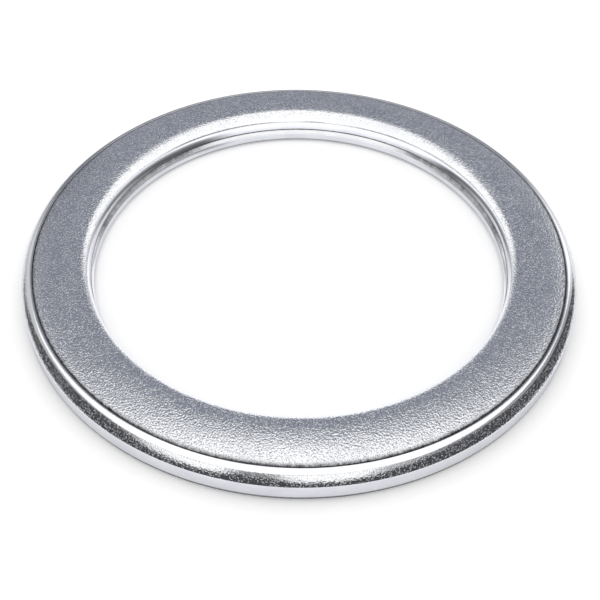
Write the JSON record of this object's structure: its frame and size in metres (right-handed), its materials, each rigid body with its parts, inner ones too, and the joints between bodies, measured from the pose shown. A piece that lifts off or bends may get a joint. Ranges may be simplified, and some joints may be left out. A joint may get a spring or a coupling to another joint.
{
  "type": "exhaust manifold gasket",
  "caption": "Round sheet-metal jacketed exhaust gasket: a crowned, grained cover ring on a flat-bottomed channel ring, with a sealed compressible filler between them.",
  "frame": {"origin": "centre of the ring on its flat underside", "axes": "+Z along the ring's axis, towards the crowned cover; the ring is round, so X and Y are free"},
  "size_m": [0.0856, 0.0856, 0.0055],
  "materials": {
    "cover_sheet": "bright rolled sheet with a fine orange-peel grain",
    "jacket_sheet": "bright rolled sheet, burnished on the walls and ledge, grained on the shoulder",
    "filler": "dull compressed graphite, sealed inside"
  },
  "bodies": {
    "root": {"cover": "cover_sheet", "jacket": "jacket_sheet", "filler": "filler"}
  },
  "joints": []
}
